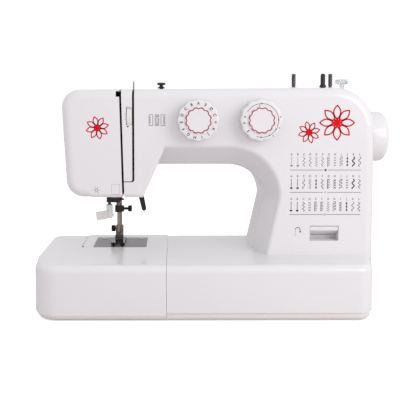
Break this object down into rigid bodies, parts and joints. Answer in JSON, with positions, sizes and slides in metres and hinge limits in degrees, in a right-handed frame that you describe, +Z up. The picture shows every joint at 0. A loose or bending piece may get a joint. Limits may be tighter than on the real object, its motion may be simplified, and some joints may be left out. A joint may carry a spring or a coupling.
{
  "type": "sewing machine",
  "caption": "Domestic free-arm sewing machine with stitch dials, handwheel, retractable spool pins, removable extension table and a moving needle bar, take-up lever and presser foot.",
  "frame": {"origin": "middle of the footprint's bounding box, on the surface that the rubber feet stand on", "axes": "+X to the handwheel, -Y to the user, +Z up"},
  "size_m": [0.4074, 0.165, 0.268],
  "materials": {
    "white_plastic": "moulded, polished",
    "beige_plastic": "moulded, fine grain",
    "ivory_plastic": "moulded",
    "clear_plastic": "clear moulding",
    "black_plastic": "moulded",
    "black_metal": "black oxide",
    "belt_rubber": "moulded belt",
    "cast_alloy": "as cast",
    "bearing_bronze": "sintered bronze",
    "brushed_steel": "brushed",
    "chrome": "polished"
  },
  "bodies": {
    "machine": {"base_tray": "beige_plastic", "base_cover": "white_plastic", "free_arm_cover": "white_plastic", "front_cover": "white_plastic", "rear_cover": "white_plastic", "face_cover": "white_plastic", "thread_guide_cover": "white_plastic", "arm_frame": "cast_alloy", "bed_frame": "cast_alloy", "needle_bar_frame": "brushed_steel", "shaft_bushes": "bearing_bronze", "motor": "black_plastic", "motor_belt": "belt_rubber", "presser_spring": "brushed_steel", "tension_discs": "brushed_steel", "spool_pin_sleeves": "ivory_plastic", "winder_stop": "clear_plastic", "winder_thread_guide": "black_plastic", "shuttle_race": "chrome", "bobbin_case": "chrome", "needle_plate": "brushed_steel", "power_inlet": "black_plastic", "small_fixings": "brushed_steel"},
    "handwheel": {"handwheel": "white_plastic", "upper_shaft": "brushed_steel", "crank_disc": "brushed_steel"},
    "clutch_knob": {"clutch_knob": "white_plastic"},
    "motor_pulley": {"motor_pulley": "brushed_steel"},
    "needle_bar": {"needle_bar": "chrome", "needle_bar_link": "brushed_steel", "needle_clamp": "black_metal", "needle": "chrome"},
    "needle_clamp_screw": {"needle_clamp_screw": "black_metal"},
    "take_up_lever": {"take_up_lever": "chrome"},
    "presser_bar": {"presser_bar": "brushed_steel", "foot_holder": "chrome", "presser_foot": "chrome"},
    "foot_holder_screw": {"foot_holder_screw": "black_metal"},
    "presser_foot_lifter": {"presser_foot_lifter": "black_plastic"},
    "needle_threader": {"threader_rod": "black_plastic", "needle_threader": "ivory_plastic"},
    "tension_dial": {"tension_dial": "ivory_plastic"},
    "pattern_dial": {"pattern_dial": "white_plastic", "pattern_cams": "beige_plastic"},
    "length_dial": {"length_dial": "white_plastic"},
    "reverse_lever": {"reverse_lever": "white_plastic"},
    "spool_pin_left": {"spool_pin_left": "chrome"},
    "spool_pin_right": {"spool_pin_right": "chrome"},
    "winder_carriage": {"winder_carriage": "black_plastic"},
    "winder_spindle": {"winder_spindle": "black_plastic"},
    "carrying_handle": {"carrying_handle": "white_plastic"},
    "extension_table": {"extension_table": "white_plastic", "table_tray": "beige_plastic"},
    "accessory_door": {"accessory_door": "white_plastic"},
    "shuttle_door": {"shuttle_door": "white_plastic"},
    "lower_shaft": {"lower_shaft": "brushed_steel"},
    "shuttle_hook": {"shuttle_hook": "chrome"},
    "bobbin": {"bobbin": "clear_plastic"},
    "feed_dog": {"feed_dog": "brushed_steel"},
    "power_switch": {"power_switch": "black_plastic"}
  },
  "joints": [
    {"name": "handwheel_turn", "type": "hinge", "parent": "machine", "child": "handwheel", "pos_m": [0.15425, 0.022, 0.192], "axis": [1, 0, 0], "continuous": true},
    {"name": "clutch_knob_turn", "type": "hinge", "parent": "handwheel", "child": "clutch_knob", "pos_m": [0.19575, 0.022, 0.192], "axis": [1, 0, 0], "range_deg": [0, 60]},
    {"name": "motor_spin", "type": "hinge", "parent": "machine", "child": "motor_pulley", "pos_m": [0.15425, 0.042, 0.092], "axis": [1, 0, 0], "continuous": true},
    {"name": "needle_bar_slide", "type": "slide", "parent": "machine", "child": "needle_bar", "axis": [0, 0, 1], "range_m": [-0.03, 0]},
    {"name": "clamp_screw_turn", "type": "hinge", "parent": "needle_bar", "child": "needle_clamp_screw", "pos_m": [-0.10575, 0.03, 0.103], "axis": [1, 0, 0], "range_deg": [0, 360]},
    {"name": "take_up_swing", "type": "hinge", "parent": "machine", "child": "take_up_lever", "pos_m": [-0.09375, 0.014, 0.206], "axis": [1, 0, 0], "range_deg": [0, 50]},
    {"name": "presser_bar_lift", "type": "slide", "parent": "machine", "child": "presser_bar", "axis": [0, 0, 1], "range_m": [0, 0.006], "deforming": ["presser_spring"]},
    {"name": "foot_screw_turn", "type": "hinge", "parent": "presser_bar", "child": "foot_holder_screw", "pos_m": [-0.12075, 0.042, 0.076], "axis": [1, 0, 0], "range_deg": [0, 360]},
    {"name": "presser_lifter_swing", "type": "hinge", "parent": "machine", "child": "presser_foot_lifter", "pos_m": [-0.09475, 0.067, 0.134], "axis": [0, -1, 0], "range_deg": [0, 55]},
    {"name": "threader_slide", "type": "slide", "parent": "machine", "child": "needle_threader", "axis": [0, 0, 1], "range_m": [-0.016, 0], "stiffness_N_per_m": 20, "springref_m": 0.006},
    {"name": "tension_turn", "type": "hinge", "parent": "machine", "child": "tension_dial", "pos_m": [-0.09775, -0.018, 0.218], "axis": [1, 0, 0], "range_deg": [-130, 130]},
    {"name": "pattern_turn", "type": "hinge", "parent": "machine", "child": "pattern_dial", "pos_m": [-0.02135, -0.03, 0.2142], "axis": [0, 1, 0], "continuous": true},
    {"name": "length_turn", "type": "hinge", "parent": "machine", "child": "length_dial", "pos_m": [0.04785, -0.03, 0.2142], "axis": [0, 1, 0], "range_deg": [-140, 140]},
    {"name": "reverse_press", "type": "hinge", "parent": "machine", "child": "reverse_lever", "pos_m": [0.12125, 0, 0.088], "axis": [1, 0, 0], "range_deg": [0, 10], "stiffness_Nm_per_rad": 0.3, "springref_deg": -5.73},
    {"name": "spool_pin_left_pull", "type": "slide", "parent": "machine", "child": "spool_pin_left", "axis": [0, 0, 1], "range_m": [0, 0.04]},
    {"name": "spool_pin_right_pull", "type": "slide", "parent": "machine", "child": "spool_pin_right", "axis": [0, 0, 1], "range_m": [0, 0.04]},
    {"name": "winder_shift", "type": "slide", "parent": "machine", "child": "winder_carriage", "axis": [1, 0, 0], "range_m": [0, 0.0046]},
    {"name": "winder_spin", "type": "hinge", "parent": "winder_carriage", "child": "winder_spindle", "pos_m": [0.12955, 0.017, 0.25], "axis": [0, 0, 1], "continuous": true},
    {"name": "handle_swing", "type": "hinge", "parent": "machine", "child": "carrying_handle", "pos_m": [0.03425, 0.07995, 0.236], "axis": [1, 0, 0], "range_deg": [0, 180]},
    {"name": "table_slide", "type": "slide", "parent": "machine", "child": "extension_table", "axis": [-1, 0, 0], "range_m": [0, 0.15]},
    {"name": "accessory_door_swing", "type": "hinge", "parent": "extension_table", "child": "accessory_door", "pos_m": [-0.20135, 0.036, 0.021], "axis": [0, -1, 0], "range_deg": [0, 90]},
    {"name": "shuttle_door_swing", "type": "hinge", "parent": "machine", "child": "shuttle_door", "pos_m": [-0.10775, 0.0074, 0.019], "axis": [1, 0, 0], "range_deg": [0, 90]},
    {"name": "lower_shaft_rock", "type": "hinge", "parent": "machine", "child": "lower_shaft", "pos_m": [0.00425, 0.05, 0.034], "axis": [1, 0, 0], "range_deg": [-1, 13]},
    {"name": "shuttle_rock", "type": "hinge", "parent": "machine", "child": "shuttle_hook", "pos_m": [-0.11575, 0.03, 0.0365], "axis": [0, 1, 0], "range_deg": [0, 200]},
    {"name": "bobbin_spin", "type": "hinge", "parent": "machine", "child": "bobbin", "pos_m": [-0.11575, 0.02, 0.0365], "axis": [0, 1, 0], "continuous": true},
    {"name": "feed_slide", "type": "slide", "parent": "machine", "child": "feed_dog", "axis": [0, 1, 0], "range_m": [0, 0.0036]},
    {"name": "switch_rock", "type": "hinge", "parent": "machine", "child": "power_switch", "pos_m": [0.17325, 0.005, 0.033], "axis": [0, 1, 0], "range_deg": [-12, 0]}
  ],
  "couplings": [
    {"joint": "motor_spin", "follows": "handwheel_turn", "ratio": 2.9767},
    {"joint": "take_up_swing", "follows": "needle_bar_slide", "rad_per_m": -29},
    {"joint": "lower_shaft_rock", "follows": "needle_bar_slide", "rad_per_m": -7.1},
    {"joint": "shuttle_rock", "follows": "needle_bar_slide", "rad_per_m": -116},
    {"joint": "feed_slide", "follows": "needle_bar_slide", "ratio": -0.119},
    {"joint": "presser_lifter_swing", "follows": "presser_bar_lift", "rad_per_m": 159.9}
  ]
}
